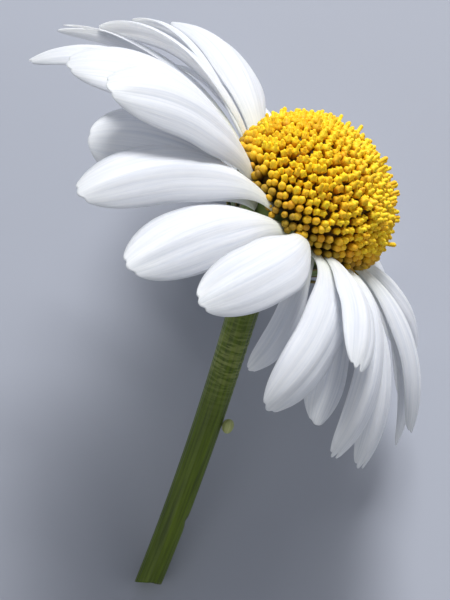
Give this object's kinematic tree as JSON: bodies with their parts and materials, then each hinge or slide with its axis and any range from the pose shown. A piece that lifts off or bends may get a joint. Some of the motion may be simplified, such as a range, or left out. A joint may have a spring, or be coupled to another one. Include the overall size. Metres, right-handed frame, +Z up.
{
  "type": "marguerite daisy flower",
  "caption": "Cut marguerite daisy lying on its side: drooping white ray petals round a domed yellow disc of tiny florets, a green bracted cup behind, and a short curved stem.",
  "frame": {"origin": "under the middle of the flower's bounding box, on the surface it lies on", "axes": "+Z up from the surface; the stem runs towards -Y and the flower's face looks towards +X +Y and slightly up"},
  "size_m": [0.04, 0.0582, 0.0484],
  "materials": {
    "petal_white": null,
    "floret_yellow": null,
    "bract_green": null,
    "cup_green": null,
    "stem_green": null,
    "bud_green": null
  },
  "bodies": {
    "root": {"petal_01": "petal_white", "petal_02": "petal_white", "petal_03": "petal_white", "petal_04": "petal_white", "petal_05": "petal_white", "petal_06": "petal_white", "petal_07": "petal_white", "petal_08": "petal_white", "petal_09": "petal_white", "petal_10": "petal_white", "petal_11": "petal_white", "petal_12": "petal_white", "petal_13": "petal_white", "petal_14": "petal_white", "petal_15": "petal_white", "petal_16": "petal_white", "petal_17": "petal_white", "petal_18": "petal_white", "petal_19": "petal_white", "petal_20": "petal_white", "petal_21": "petal_white", "petal_22": "petal_white", "petal_23": "petal_white", "petal_24": "petal_white", "petal_25": "petal_white", "petal_26": "petal_white", "petal_27": "petal_white", "petal_28": "petal_white", "petal_29": "petal_white", "disc_florets_outer": "floret_yellow", "disc_florets_middle": "floret_yellow", "disc_florets_centre": "floret_yellow", "receptacle": "cup_green", "bract_inner_01": "bract_green", "bract_inner_02": "bract_green", "bract_inner_03": "bract_green", "bract_inner_04": "bract_green", "bract_inner_05": "bract_green", "bract_inner_06": "bract_green", "bract_inner_07": "bract_green", "bract_inner_08": "bract_green", "bract_inner_09": "bract_green", "bract_inner_10": "bract_green", "bract_inner_11": "bract_green", "bract_inner_12": "bract_green", "bract_outer_01": "bract_green", "bract_outer_02": "bract_green", "bract_outer_03": "bract_green", "bract_outer_04": "bract_green", "bract_outer_05": "bract_green", "bract_outer_06": "bract_green", "bract_outer_07": "bract_green", "bract_outer_08": "bract_green", "bract_outer_09": "bract_green", "bract_outer_10": "bract_green", "bract_outer_11": "bract_green", "bract_outer_12": "bract_green", "stem": "stem_green", "stem_bud": "bud_green"}
  },
  "joints": []
}
